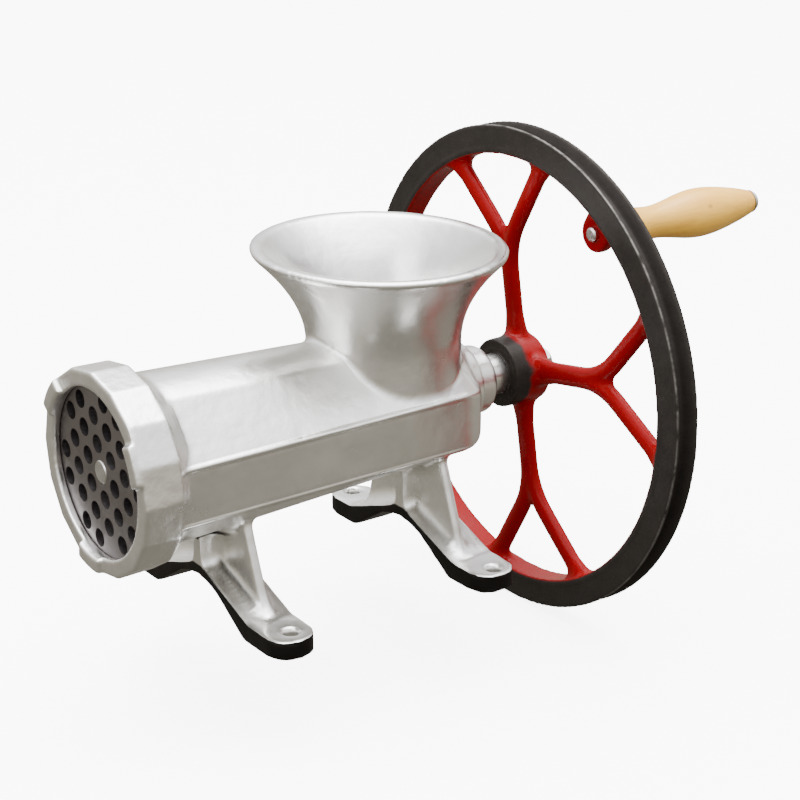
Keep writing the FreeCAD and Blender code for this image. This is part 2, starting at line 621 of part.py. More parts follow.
# ---------------------------------------------------------------- feed screw and its washers
def screw_thread():
    """The left-hand flight, with its tip held just inside the tapering bore."""
    length = SCREW_END_X - SCREW_FRONT_X
    helix = Part.makeHelix(SCREW_PITCH, length - SCREW_ROOT_WIDTH, SCREW_CORE_FRONT)
    inner, outer = SCREW_CORE_FRONT - 3, BORE_FRONT_RADIUS + 2
    half_root, half_tip = SCREW_ROOT_WIDTH / 2, SCREW_TIP_WIDTH / 2
    corners = [
        Vector(inner, 0, -half_root),
        Vector(outer, 0, -half_tip),
        Vector(outer, 0, half_tip),
        Vector(inner, 0, half_root),
    ]
    profile = Part.makePolygon(corners + corners[:1])
    flight = Part.Wire(helix).makePipeShell([profile], True, True)
    flight = flight.mirror(Vector(0, 0, 0), Y_AXIS)
    flight.rotate(Vector(0, 0, 0), Y_AXIS, 90)
    flight.translate(Vector(SCREW_FRONT_X + SCREW_ROOT_WIDTH / 2, 0, SHAFT_HEIGHT))
    run = REAR_WALL_X - SCREW_FRONT_X
    rear = between(BORE_FRONT_RADIUS, BORE_REAR_RADIUS, length / run) - SCREW_SIDE_GAP
    front = BORE_FRONT_RADIUS - SCREW_SIDE_GAP
    return flight.common(round_bar(front, SCREW_FRONT_X, SCREW_END_X, rear))


def feed_screw():
    """The screw with its square nose for the knife and its shaft to the wheel."""
    nose = bar_on_axis(KNIFE_SQUARE, KNIFE_FRONT_X + 1, SCREW_FRONT_X, 4, 45)
    core = round_bar(SCREW_CORE_FRONT, SCREW_FRONT_X, SCREW_END_X, SCREW_CORE_REAR)
    collar = round_bar(SCREW_COLLAR_RADIUS, SCREW_END_X, COLLAR_END_X)
    shaft = round_bar(SHAFT_RADIUS, COLLAR_END_X, HUB_START_X)
    seat = bar_on_axis(WHEEL_SQUARE, HUB_START_X, SQUARE_END_X, 4, 45)
    seat = seat.common(round_bar(SHAFT_RADIUS, HUB_START_X, SQUARE_END_X))
    solid = core.fuse([nose, collar, shaft, seat, screw_thread()])
    stud_hole = round_bar(STUD_RADIUS + SEAT_GAP, KNIFE_FRONT_X - 1, KNIFE_FRONT_X + STUD_THREAD + 1)
    bolt_hole = round_bar(
        WHEEL_BOLT_RADIUS + SEAT_GAP, SQUARE_END_X - WHEEL_BOLT_DEPTH - 3, SQUARE_END_X + 1
    )
    return solid.cut([stud_hole, bolt_hole]).removeSplitter()


def thrust_washers():
    """A fibre washer that turns with the screw, and a steel one against the rear wall."""
    inner = SHAFT_RADIUS + BOLT_GAP
    fibre = washer(THRUST_RADIUS, inner, FIBRE_WASHER_X, THRUST_THICKNESS)
    steel = washer(THRUST_RADIUS, inner, STEEL_WASHER_X, THRUST_THICKNESS)
    return fibre, steel


# ---------------------------------------------------------------- flywheel
def oval_loop(centre, across, depth):
    """An upright oval in the plane of the across vector and the X axis."""
    ellipse = Part.Ellipse(centre + across, centre + X_AXIS * depth, centre)
    return Part.Wire(ellipse.toShape())


def wheel_point(along, aside, spoke):
    """A place on a spoke: so far out from the shaft, and so far to one side."""
    angle = math.radians(SPOKE_TURN + 360 / SPOKES * spoke)
    y = -along * math.cos(angle) - aside * math.sin(angle)
    z = along * math.sin(angle) - aside * math.cos(angle)
    return Vector(SPOKE_X, y, SHAFT_HEIGHT + z)


def branch(spoke, side):
    """One branch: straight out of the hub, round the fork's bend and straight into the rim."""
    turn = math.radians(FORK_TURN)
    bend_end = (FORK_RADIUS + FORK_BEND * math.sin(turn), BRANCH_OFFSET + FORK_BEND * (1 - math.cos(turn)))
    bend_middle = (
        FORK_RADIUS + FORK_BEND * math.sin(turn / 2),
        BRANCH_OFFSET + FORK_BEND * (1 - math.cos(turn / 2)),
    )
    heading = (math.cos(turn), math.sin(turn))
    forward = bend_end[0] * heading[0] + bend_end[1] * heading[1]
    apart = abs(bend_end[0] * heading[1] - bend_end[1] * heading[0])

    def beyond_bend(radius):
        run = math.sqrt(radius**2 - apart**2) - forward
        return (bend_end[0] + run * heading[0], bend_end[1] + run * heading[1])

    def spot(place):
        return wheel_point(place[0], side * place[1], spoke)

    inner, tip = beyond_bend(RIM_INNER_RADIUS - TIP_FLARE_LENGTH), beyond_bend(RIM_INNER_RADIUS + 3)
    start = spot((HUB_RADIUS / 2, BRANCH_OFFSET))
    fork = spot((FORK_RADIUS, BRANCH_OFFSET))
    path = Part.Wire(
        [
            Part.LineSegment(start, fork).toShape(),
            Part.Arc(fork, spot(bend_middle), spot(bend_end)).toShape(),
            Part.LineSegment(spot(bend_end), spot(tip)).toShape(),
        ]
    )
    sideways = (spot((0, 1)) - spot((0, 0))) * BRANCH_HALF_WIDTH
    limb = path.makePipeShell([oval_loop(start, sideways, BRANCH_HALF_DEPTH)], True, False)
    straight_out = (spot(tip) - spot(inner)).normalize()
    across = straight_out.cross(X_AXIS) * BRANCH_HALF_WIDTH
    swell = Part.makeLoft(
        [
            oval_loop(spot(inner), across, BRANCH_HALF_DEPTH),
            oval_loop(spot(tip), across * TIP_FLARE, BRANCH_HALF_DEPTH * TIP_FLARE),
        ],
        True,
        True,
    )
    return [limb, swell]


def spoke_root(spoke):
    """The taper where a stem grows out of the hub."""
    sideways = wheel_point(0, 1, spoke) - wheel_point(0, 0, spoke)
    loops = [oval_loop(wheel_point(r, 0, spoke), sideways * half, depth) for r, half, depth in ROOT_FLARE]
    return Part.makeLoft(loops, True, True)


def flywheel():
    """Hub, four forked spokes, grooved rim and crank ear in one casting."""
    rim_end = RIM_START_X + RIM_WIDTH
    middle = RIM_START_X + RIM_WIDTH / 2
    top, bottom = GROOVE_WIDTH / 2, GROOVE_BOTTOM / 2
    rim = spun(
        [
            (RIM_START_X, RIM_INNER_RADIUS),
            (RIM_START_X, RIM_RADIUS),
            (middle - top, RIM_RADIUS),
            (middle - bottom, RIM_RADIUS - GROOVE_DEPTH),
            (middle + bottom, RIM_RADIUS - GROOVE_DEPTH),
            (middle + top, RIM_RADIUS),
            (rim_end, RIM_RADIUS),
            (rim_end, RIM_INNER_RADIUS),
        ]
    )
    wheel = round_bar(HUB_RADIUS, HUB_START_X, HUB_END_X)
    for spoke in range(SPOKES):
        wheel = wheel.fuse([spoke_root(spoke), *branch(spoke, 1), *branch(spoke, -1)])
    wheel = wheel.fuse(rim)
    ear = round_bar(EAR_RADIUS, EAR_START_X, EAR_END_X, y=CRANK_Y, z=CRANK_Z)
    tab = prism(
        [
            (-RIM_INNER_RADIUS - 1, -EAR_RADIUS),
            (-CRANK_RADIUS, -EAR_RADIUS),
            (-CRANK_RADIUS, EAR_RADIUS),
            (-RIM_INNER_RADIUS - 1, EAR_RADIUS),
        ],
        EAR_START_X,
        EAR_END_X,
    )
    tab.translate(Vector(0, 0, SHAFT_HEIGHT))
    wheel = wheel.fuse(ear.fuse(turned(tab, -EAR_ANGLE)))
    bolt_hole = at_crank(round_bar, HANDLE_BOLT_RADIUS + SEAT_GAP, EAR_START_X - 1, EAR_END_X + 1)
    square = bar_on_axis(WHEEL_SQUARE + 2 * SQUARE_GAP, HUB_START_X - 1, HUB_END_X + 1, 4, 45)
    square = square.common(round_bar(SHAFT_RADIUS + SQUARE_GAP, HUB_START_X - 1, HUB_END_X + 1))
    return wheel.cut([bolt_hole, square]).removeSplitter()


def wheel_fastening():
    """The bolt in the shaft's end, with its spring washer and flat washer."""
    flat = washer(WHEEL_WASHER_RADIUS, WHEEL_BOLT_RADIUS + BOLT_GAP, HUB_END_X, WHEEL_WASHER_THICKNESS)
    spring_x = HUB_END_X + WHEEL_WASHER_THICKNESS
    spring = washer(
        SPRING_WASHER_RADIUS, WHEEL_BOLT_RADIUS + BOLT_GAP, spring_x, SPRING_WASHER_THICKNESS
    )
    slot = Part.makeBox(
        SPRING_WASHER_THICKNESS + 2,
        SPRING_WASHER_SLOT,
        SPRING_WASHER_RADIUS + 2,
        Vector(spring_x - 1, -SPRING_WASHER_SLOT / 2, SHAFT_HEIGHT),
    )
    spring = spring.cut(slot)
    head_x = spring_x + SPRING_WASHER_THICKNESS
    shank = round_bar(WHEEL_BOLT_RADIUS, SQUARE_END_X - WHEEL_BOLT_DEPTH, head_x + 1)
    return flat, spring, shank.fuse(hex_head(head_x)).removeSplitter()


def hex_head(x0):
    """A hexagon head with its outer corners turned off."""
    across = WHEEL_HEAD_ACROSS_FLATS
    head = bar_on_axis(across, x0, x0 + WHEEL_HEAD_HEIGHT, 6, 30)
    cone = round_bar(across / 2 + 4, x0, x0 + WHEEL_HEAD_HEIGHT, across / 2 - 0.6)
    return head.common(cone)


# ---------------------------------------------------------------- crank handle
def handle_bolt():
    """The long bolt through the grip and the ear, with a shallow domed head."""
    tip = EAR_START_X - HANDLE_BOLT_TIP
    shank = at_crank(round_bar, HANDLE_BOLT_RADIUS, tip, BOLT_HEAD_X + 0.5)
    shank = shank.makeChamfer(0.9, edges_on_plane(shank, tip))
    head = at_crank(round_bar, BOLT_HEAD_RADIUS, BOLT_HEAD_X, BOLT_HEAD_X + BOLT_HEAD_HEIGHT)
    head = head.makeFillet(1.4, edges_on_plane(head, BOLT_HEAD_X + BOLT_HEAD_HEIGHT))
    return shank.fuse(head).removeSplitter()


def lock_nut():
    """The hexagon nut that locks the bolt against the ear."""
    end = EAR_END_X + LOCK_NUT_THICKNESS
    nut = at_crank(bar_on_axis, LOCK_NUT_ACROSS_FLATS, EAR_END_X, end, 6)
    return nut.cut(at_crank(round_bar, HANDLE_BOLT_RADIUS + SEAT_GAP, EAR_END_X - 1, end + 1))


def grip_washers():
    """Plain washers at both ends of the grip."""
    inner_x = EAR_END_X + LOCK_NUT_THICKNESS
    hole = HANDLE_BOLT_RADIUS + BOLT_GAP
    near = at_crank(washer, GRIP_WASHER_RADIUS, hole, inner_x, GRIP_WASHER_THICKNESS)
    far = at_crank(washer, END_WASHER_RADIUS, hole, END_WASHER_X, END_WASHER_THICKNESS)
    return near, far


def wooden_grip():
    """A turned grip: small collar, neck, full belly and a tapering end."""
    stations = [
        (0.0, GRIP_COLLAR_RADIUS - 1.2),
        (GRIP_COLLAR_AT, GRIP_COLLAR_RADIUS),
        (GRIP_NECK_AT, GRIP_NECK_RADIUS),
        (GRIP_BELLY_AT, GRIP_BELLY_RADIUS),
        (GRIP_SHOULDER_AT, GRIP_SHOULDER_RADIUS),
        (GRIP_LENGTH, GRIP_END_RADIUS),
    ]
    points = [Vector(GRIP_START_X + x, CRANK_Y, CRANK_Z + radius) for x, radius in stations]
    outline = Part.BSplineCurve()
    outline.interpolate(points)
    start = Vector(GRIP_START_X, CRANK_Y, CRANK_Z)
    end = Vector(GRIP_END_X, CRANK_Y, CRANK_Z)
    edges = [
        Part.LineSegment(start, points[0]).toShape(),
        outline.toShape(),
        Part.LineSegment(points[-1], end).toShape(),
        Part.LineSegment(end, start).toShape(),
    ]
    solid = Part.Face(Part.Wire(edges)).revolve(start, X_AXIS, 360)
    return solid.cut(at_crank(round_bar, SLEEVE_RADIUS + SEAT_GAP, GRIP_START_X - 1, GRIP_END_X + 1))


def grip_sleeve():
    """The steel tube pressed into the grip, which turns on the bolt."""
    return at_crank(washer, SLEEVE_RADIUS, HANDLE_BOLT_RADIUS + RUNNING_GAP, GRIP_START_X, GRIP_LENGTH)


def main():
    os.makedirs("parts", exist_ok=True)
    fibre, steel = thrust_washers()
    wheel_washer, spring_washer, wheel_bolt = wheel_fastening()
    inner_washer, end_washer = grip_washers()
    nodes = {
        "grinder_body": grinder_body(),
        "rear_bushing": rear_bushing(),
        "plate_pin": pin_shape(PIN_RADIUS),
        "ring_nut": ring_nut(),
        "cutting_plate": cutting_plate(),
        "knife": knife(),
        "plate_stud": plate_stud(),
        "feed_screw": feed_screw(),
        "fibre_thrust_washer": fibre,
        "steel_thrust_washer": steel,
        "flywheel": flywheel(),
        "wheel_washer": wheel_washer,
        "wheel_spring_washer": spring_washer,
        "wheel_bolt": wheel_bolt,
        "handle_bolt": handle_bolt(),
        "handle_lock_nut": lock_nut(),
        "grip_inner_washer": inner_washer,
        "grip_end_washer": end_washer,
        "grip_sleeve": grip_sleeve(),
        "wooden_grip": wooden_grip(),
    }
    for name, shape in nodes.items():
        save(name, shape)


main()
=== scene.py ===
import json
import math

import bmesh
import bpy
from mathutils import Matrix, Vector


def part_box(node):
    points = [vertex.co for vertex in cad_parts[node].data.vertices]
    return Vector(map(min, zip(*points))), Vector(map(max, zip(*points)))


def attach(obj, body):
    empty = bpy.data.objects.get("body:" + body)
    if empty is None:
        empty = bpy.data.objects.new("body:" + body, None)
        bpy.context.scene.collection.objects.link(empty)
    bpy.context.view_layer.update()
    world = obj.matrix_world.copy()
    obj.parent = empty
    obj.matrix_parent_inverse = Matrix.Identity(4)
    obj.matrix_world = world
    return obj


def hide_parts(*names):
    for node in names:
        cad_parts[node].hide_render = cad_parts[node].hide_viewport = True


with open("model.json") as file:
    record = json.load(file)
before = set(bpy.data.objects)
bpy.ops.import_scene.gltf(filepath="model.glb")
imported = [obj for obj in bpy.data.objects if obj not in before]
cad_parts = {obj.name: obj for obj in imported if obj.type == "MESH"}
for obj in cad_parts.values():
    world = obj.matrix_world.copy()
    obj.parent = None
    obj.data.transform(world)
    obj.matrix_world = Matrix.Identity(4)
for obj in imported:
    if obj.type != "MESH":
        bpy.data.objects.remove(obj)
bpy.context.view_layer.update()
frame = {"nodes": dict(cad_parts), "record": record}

# ---------------------------------------------------------------- places, from the fixed frame
WHEEL_LOW, WHEEL_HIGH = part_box("flywheel")
BODY_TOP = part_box("grinder_body")[1].z
GRIP_LOW, GRIP_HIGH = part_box("wooden_grip")
SHAFT_Z = (WHEEL_LOW.z + WHEEL_HIGH.z) / 2
RIM_RADIUS = (WHEEL_HIGH.z - WHEEL_LOW.z) / 2
RIM_BORE = RIM_RADIUS - 0.017
RIM_NEAR_X = WHEEL_LOW.x + 0.0109
GRIP_Y = (GRIP_LOW.y + GRIP_HIGH.y) / 2
GRIP_Z = (GRIP_LOW.z + GRIP_HIGH.z) / 2
BOLTS = next(mount for mount in frame["record"]["mounts"] if mount["name"] == "foot_bolts")["dims"]
FOOT_HOLE_X, FOOT_HOLE_Y = BOLTS["spacing_x_mm"] / 2000, BOLTS["spacing_y_mm"] / 2000
BARREL_UNDERSIDE = SHAFT_Z - 0.046
HOPPER_X, THROAT_RADIUS = 0.0425, 0.0412
FOOT_TOP, STRIP_RISE = 0.0104, 0.0171  # the strip between two feet rises to its middle
STRIP_MIDDLE_Y, STRIP_END_Y = 0.004, 0.052
BAND_TOP, BAND_BOTTOM, BAND_LINE = 0.0098, -0.0218, 0.0024  # from the shaft, and half a line's width
KNOT_FROM_END, KNOT_ASIDE, KNOT_UP = 0.062, -0.0115, 0.006


def smooth_step(low, high, value):
    """0 at low, 1 at high and an easy curve between them."""
    share = min(max((value - low) / (high - low), 0.0), 1.0)
    return share * share * (3 - 2 * share)


def from_shaft(point):
    """Distance from the shaft's axis."""
    return math.hypot(point.y, point.z - SHAFT_Z)


def from_foot_hole(point):
    """Distance from the axis of the nearest foot hole."""
    return math.hypot(abs(point.x) - FOOT_HOLE_X, abs(point.y) - FOOT_HOLE_Y)


# ---------------------------------------------------------------- mesh tools
def fresh_copy(node, name):
    """A separate, welded copy of a CAD node's mesh."""
    mesh = frame["nodes"][node].data.copy()
    mesh.name = name
    piece = bpy.data.objects.new(name, mesh)
    bpy.context.scene.collection.objects.link(piece)
    work = bmesh.new()
    work.from_mesh(mesh)
    bmesh.ops.remove_doubles(work, verts=work.verts, dist=1e-6)
    bmesh.ops.recalc_face_normals(work, faces=work.faces)
    work.to_mesh(mesh)
    work.free()
    mesh.materials.clear()
    return piece


def reshape(piece, kind, **settings):
    """Run one modifier and keep the result as the piece's own mesh."""
    modifier = piece.modifiers.new(kind, kind)
    for key, value in settings.items():
        setattr(modifier, key, value)
    bpy.context.view_layer.update()
    result = bpy.data.meshes.new_from_object(piece.evaluated_get(bpy.context.evaluated_depsgraph_get()))
    piece.modifiers.clear()
    piece.data = result


def recast(piece, grain):
    """Rebuild the skin from even little squares."""
    reshape(piece, "REMESH", mode="VOXEL", voxel_size=grain, use_smooth_shade=True)


def swell(piece, amount):
    """Move each point along its normal, by an amount that depends on where it is."""
    mesh = piece.data
    moved = [v.co + v.normal * amount(v.co) for v in mesh.vertices]
    for vertex, place in zip(mesh.vertices, moved):
        vertex.co = place
    mesh.update()


def rub_down(piece, passes, where=None):
    """Relax the skin, everywhere or only where asked."""
    work = bmesh.new()
    work.from_mesh(piece.data)
    chosen = [v for v in work.verts if where is None or where(v.co)]
    for _ in range(passes):
        bmesh.ops.smooth_vert(
            work, verts=chosen, factor=0.5, use_axis_x=True, use_axis_y=True, use_axis_z=True
        )
    work.to_mesh(piece.data)
    work.free()


def thin_out(piece, triangles):
    """Spend no more than this many triangles, and shade smooth."""
    reshape(piece, "TRIANGULATE")
    have = len(piece.data.polygons)
    if have > triangles:
        reshape(piece, "DECIMATE", ratio=triangles / have)
    piece.data.shade_smooth()


def paint_mask(piece, name, value):
    """Store a number from 0 to 1 on every point, from its place and normal."""
    layer = piece.data.attributes.new(name, "FLOAT", "POINT")
    layer.data.foreach_set("value", [value(v.co, v.normal) for v in piece.data.vertices])


# ---------------------------------------------------------------- shader arithmetic
class Value:
    """A shader socket that takes part in ordinary sums."""

    def __init__(self, shader, socket):
        self.shader = shader
        self.socket = socket

    def maths(self, operation, *others):
        node = self.shader.node("ShaderNodeMath", operation=operation)
        for socket, value in zip(node.inputs, (self, *others)):
            self.shader.feed(socket, value)
        return Value(self.shader, node.outputs[0])

    def __add__(self, other):
        return self.maths("ADD", other)

    def __sub__(self, other):
        return self.maths("SUBTRACT", other)

    def __mul__(self, other):
        return self.maths("MULTIPLY", other)

    def __rsub__(self, other):
        return (self * -1) + other

    __radd__ = __add__
    __rmul__ = __mul__

    def stretched(self, low, high):
        """0 where this is low, 1 where it is high, easing between."""
        node = self.shader.node("ShaderNodeMapRange", interpolation_type="SMOOTHSTEP")
        self.shader.feed(node.inputs["Value"], self)
        node.inputs["From Min"].default_value = low
        node.inputs["From Max"].default_value = high
        return Value(self.shader, node.outputs["Result"])


class Shader:
    """One material, built from plain calls."""

    def __init__(self, name, metallic, roughness, **constants):
        self.material = bpy.data.materials.new(name)
        self.material.use_nodes = True
        self.tree = self.material.node_tree
        self.surface = self.tree.nodes["Principled BSDF"]
        self.surface.inputs["Metallic"].default_value = metallic
        self.surface.inputs["Roughness"].default_value = roughness
        for key, value in constants.items():
            self.surface.inputs[key.replace("_", " ")].default_value = value
        self.place = self.node("ShaderNodeTexCoord").outputs["Object"]

    def node(self, kind, **settings):
        made = self.tree.nodes.new(kind)
        for key, value in settings.items():
            setattr(made, key, value)
        return made

    def feed(self, socket, value):
        """Give a socket a number, a colour or another node's result."""
        if isinstance(value, Value):
            self.tree.links.new(value.socket, socket)
        elif isinstance(value, bpy.types.NodeSocket):
            self.tree.links.new(value, socket)
        else:
            socket.default_value = value

    def axis(self, letter):
        """One object coordinate."""
        parts = self.node("ShaderNodeSeparateXYZ")
        self.feed(parts.inputs[0], self.place)
        return Value(self, parts.outputs[letter])

    def shaft_distance(self):
        """Distance from the shaft's axis."""
        across, up = self.axis("Y"), self.axis("Z") - SHAFT_Z
        return (across * across + up * up).maths("SQRT")

    def stored(self, name):
        """A mask kept on the mesh."""
        return Value(self, self.node("ShaderNodeAttribute", attribute_name=name).outputs["Fac"])

    def scaled(self, stretch):
        """Object coordinates stretched axis by axis."""
        mapping = self.node("ShaderNodeMapping")
        mapping.inputs["Scale"].default_value = stretch
        self.feed(mapping.inputs["Vector"], self.place)
        return mapping.outputs["Vector"]

    def cloud(self, size, detail=2.0, roughness=0.5, distortion=0.0, stretch=(1, 1, 1)):
        """Soft noise whose blobs are about this many metres across."""
        node = self.node("ShaderNodeTexNoise")
        self.feed(node.inputs["Vector"], self.scaled(stretch))
        node.inputs["Scale"].default_value = 1 / size
        node.inputs["Detail"].default_value = detail
        node.inputs["Roughness"].default_value = roughness
        node.inputs["Distortion"].default_value = distortion
        return Value(self, node.outputs["Fac"])

    def mixed(self, share, first, second):
        """A colour between two others."""
        node = self.node("ShaderNodeMix", data_type="RGBA")
        self.feed(node.inputs["Factor"], share)
        self.feed(node.inputs["A"], first)
        self.feed(node.inputs["B"], second)
        return node.outputs["Result"]

    def colour(self, value):
        self.feed(self.surface.inputs["Base Color"], value)

    def roughness(self, value):
        self.feed(self.surface.inputs["Roughness"], value)

    def metallic(self, value):
        self.feed(self.surface.inputs["Metallic"], value)

    def relief(self, height, depth):
        """Raise the surface by height times depth, in metres."""
        bump = self.node("ShaderNodeBump")
        self.feed(bump.inputs["Height"], height * depth)
        bump.inputs["Distance"].default_value = 1.0
        self.feed(self.surface.inputs["Normal"], bump.outputs["Normal"])


# ---------------------------------------------------------------- materials
def tinned_casting(name, unevenness, masked):
    """Bright tin over cast iron: uneven, a little grainy, and darkened with painted shade where the stored
    mask asks.
    """
    shader = Shader(name, metallic=1.0, roughness=0.3)
    broad = shader.cloud(0.045, detail=3.0, roughness=0.55)
    middling = shader.cloud(0.012, detail=3.0)
    fine = shader.cloud(0.0016, detail=2.0)
    tin = shader.mixed(broad, (0.78, 0.77, 0.75, 1), (0.88, 0.88, 0.87, 1))
    rough = middling * 0.12 + broad * 0.1 + 0.19
    height = broad * 2.2 + middling * 0.9 + fine * 0.06
    if masked:
        painted_shade = shader.stored("painted_shade")
        # Painted shade: the stored mask turns the tin near black on the sides of the strips and feet and on
        # faces turned down under the body.
        painted_shade_share = (painted_shade + (middling - 0.5) * 0.15).stretched(0.38, 0.58)
        tin = shader.mixed(painted_shade_share, tin, (0.018, 0.016, 0.015, 1))
        rough = rough + painted_shade_share * 0.22
        height = height + band_edges(shader)
    shader.colour(tin)
    shader.roughness(rough)
    shader.relief(height, unevenness)
    return shader.material


def band_edges(shader):
    """Fine raised lines along the upper and lower edges of the barrel's side bands."""
    along = shader.axis("X")
    run = along.stretched(-0.117, -0.114) * (1 - along.stretched(0.066, 0.074))
    up = shader.axis("Z") - SHAFT_Z
    beside = shader.axis("Y").maths("ABSOLUTE").stretched(0.040, 0.0415) * run
    upper = 1 - (up - BAND_TOP).maths("ABSOLUTE").stretched(0.0, BAND_LINE)
    lower = 1 - (up - BAND_BOTTOM).maths("ABSOLUTE").stretched(0.0, BAND_LINE)
    return (upper + lower) * beside * 2.0


def plate_steel():
    """Dark ground steel with faint grinding lines."""
    shader = Shader("plate_steel", metallic=1.0, roughness=0.36)
    lines = shader.cloud(0.0006, detail=2.0, stretch=(1, 0.08, 1))
    patches = shader.cloud(0.02, detail=3.0)
    shader.colour(shader.mixed(patches, (0.17, 0.155, 0.158, 1), (0.25, 0.23, 0.235, 1)))
    shader.roughness(patches * 0.15 + 0.3)
    shader.relief(lines, 0.00003)
    return shader.material


def turned_steel():
    """Bright steel with fine lathe rings."""
    shader = Shader("turned_steel", metallic=1.0, roughness=0.28)
    patches = shader.cloud(0.01, detail=3.0)
    rings = shader.cloud(0.0005, stretch=(1, 0.2, 0.2))
    shader.colour(shader.mixed(patches, (0.55, 0.54, 0.53, 1), (0.72, 0.71, 0.70, 1)))
    shader.roughness(patches * 0.15 + 0.2)
    shader.relief(rings, 0.00002)
    return shader.material


def bronze():
    """Turned bronze with dull patches."""
    shader = Shader("turned_bronze", metallic=1.0, roughness=0.35)
    patches = shader.cloud(0.008, detail=3.0)
    shader.colour(shader.mixed(patches, (0.45, 0.27, 0.12, 1), (0.68, 0.45, 0.22, 1)))
    shader.roughness(patches * 0.2 + 0.25)
    shader.relief(shader.cloud(0.0006, stretch=(1, 0.2, 0.2)), 0.00002)
    return shader.material


def fibre():
    """Brown pressed fibre with a mottled, matt face."""
    shader = Shader("pressed_fibre", metallic=0.0, roughness=0.7)
    mottle = shader.cloud(0.003, detail=4.0, roughness=0.6)
    shader.colour(shader.mixed(mottle, (0.16, 0.07, 0.035, 1), (0.3, 0.16, 0.08, 1)))
    shader.roughness(mottle * 0.2 + 0.55)
    shader.relief(mottle, 0.00008)
    return shader.material


def wheel_paint():
    """Glossy red inside the rim, worn dark iron on the rim and on the hub's near end."""
    shader = Shader("wheel_paint", metallic=0.0, roughness=0.3, Coat_Roughness=0.12, Specular_IOR_Level=0.08)
    broad = shader.cloud(0.04, detail=3.0)
    middling = shader.cloud(0.009, detail=3.0)
    fine = shader.cloud(0.0014, detail=3.0)
    reach = shader.shaft_distance()
    along = shader.axis("X")
    wander = (broad - 0.5) * 0.0012
    on_rim = (reach + wander).stretched(RIM_BORE + 0.0001, RIM_BORE + 0.0012)
    on_hub = 1 - (along + (middling - 0.5) * 0.008).stretched(WHEEL_LOW.x + 0.008, WHEEL_LOW.x + 0.012)
    near_hub = 1 - reach.stretched(0.0215, 0.025)
    bare = on_rim.maths("MAXIMUM", on_hub * near_hub)
    red = shader.mixed(broad, (0.17, 0.0, 0.001, 1), (0.27, 0.0, 0.002, 1))
    iron = shader.mixed(middling * 0.5 + broad * 0.5, (0.016, 0.0135, 0.012, 1), (0.040, 0.035, 0.032, 1))
    edge = reach.stretched(RIM_RADIUS - 0.0013, RIM_RADIUS - 0.0003)
    edge = edge * (1 - along.stretched(RIM_NEAR_X + 0.0005, RIM_NEAR_X + 0.0016))
    worn = edge * middling.stretched(0.3, 0.55) * 0.7
    iron = shader.mixed(worn, iron, (0.2, 0.19, 0.18, 1))
    shader.colour(shader.mixed(bare, red, iron))
    shader.metallic(bare * 0.35 + worn * 0.4)
    shader.roughness(bare * 0.2 + middling * 0.1 + 0.2)
    shader.feed(shader.surface.inputs["Coat Weight"], 0.05 - bare * 0.04)
    shader.relief(broad * 1.5 + middling * 0.6 + fine * (bare * 0.18 + 0.05), 0.0004)
    return shader.material


def varnished_wood():
    """Pale close-grained wood under thin varnish, with one small knot."""
    shader = Shader("varnished_wood", metallic=0.0, roughness=0.38)
    grain = shader.cloud(0.0022, detail=4.0, roughness=0.6, distortion=0.6, stretch=(0.06, 1, 1))
    bands = shader.cloud(0.011, detail=2.0, distortion=0.8, stretch=(0.12, 1, 1))
    broad = shader.cloud(0.03, detail=2.0)
    pale = shader.mixed(bands.stretched(0.3, 0.7), (0.80, 0.40, 0.035, 1), (0.92, 0.53, 0.07, 1))
    streaked = shader.mixed(grain.stretched(0.35, 0.75) * 0.35, pale, (0.55, 0.22, 0.015, 1))
    dx = shader.axis("X") - (GRIP_LOW.x + KNOT_FROM_END)
    dy = shader.axis("Y") - (GRIP_Y + KNOT_ASIDE)
    dz = shader.axis("Z") - (GRIP_Z + KNOT_UP)
    away = (dx * dx * 0.5 + dy * dy + dz * dz).maths("SQRT") + (grain - 0.5) * 0.001
    knot = (1 - away.stretched(0.0004, 0.0021)) * 0.75
    shader.colour(shader.mixed(knot, streaked, (0.16, 0.07, 0.02, 1)))
    shader.roughness(broad * 0.12 + grain * 0.1 + 0.26)
    shader.feed(shader.surface.inputs["Coat Weight"], broad * 0.3 + 0.15)
    shader.relief(grain * 0.6 + bands * 0.4, 0.00012)
    return shader.material


# ---------------------------------------------------------------- castings
def leg_zone(point):
    """1 on the outside of the legs and where they meet the barrel, 0 at the foot holes."""
    low = 1 - smooth_step(BARREL_UNDERSIDE, SHAFT_Z - 0.024, point.z)
    hole = from_foot_hole(point)
    return low * smooth_step(0.006, 0.016, hole) * smooth_step(0.0365, 0.040, from_shaft(point))


def neck_zone(point):
    """1 where the hopper grows out of the barrel, on the outside only."""
    height = point.z - SHAFT_Z
    around = math.hypot(point.x - HOPPER_X, point.y) / THROAT_RADIUS
    outside = smooth_step(0.93, 0.97, around) * smooth_step(0.0375, 0.039, from_shaft(point))
    beside = smooth_step(-0.020, 0.0, height) * (1 - smooth_step(0.045, 0.06, height))
    return 0.3 * outside * beside * (1 - smooth_step(1.2, 1.5, around)) * smooth_step(-0.02, -0.005, point.x)


def painted_shade_on_body(point, normal):
    """How much painted shade each point gets: over a half on the sides of the arched strips and feet, and
    under them; less elsewhere.
    """
    inwards = (STRIP_END_Y - abs(point.y)) / (STRIP_END_Y - STRIP_MIDDLE_Y)
    top = FOOT_TOP + STRIP_RISE * min(max(inwards, 0.0), 1.0)
    strip = 0.5 + (top - point.z) / 0.006
    upright = math.hypot(normal.x, normal.y) * 1.6 - 0.6
    sides = min(strip, upright, (from_foot_hole(point) - 0.004) / 0.004)
    under = min(-normal.z * 1.2, 0.5 + (BARREL_UNDERSIDE - point.z) / 0.02)
    return min(max(sides, under, 0.0), 1.0)


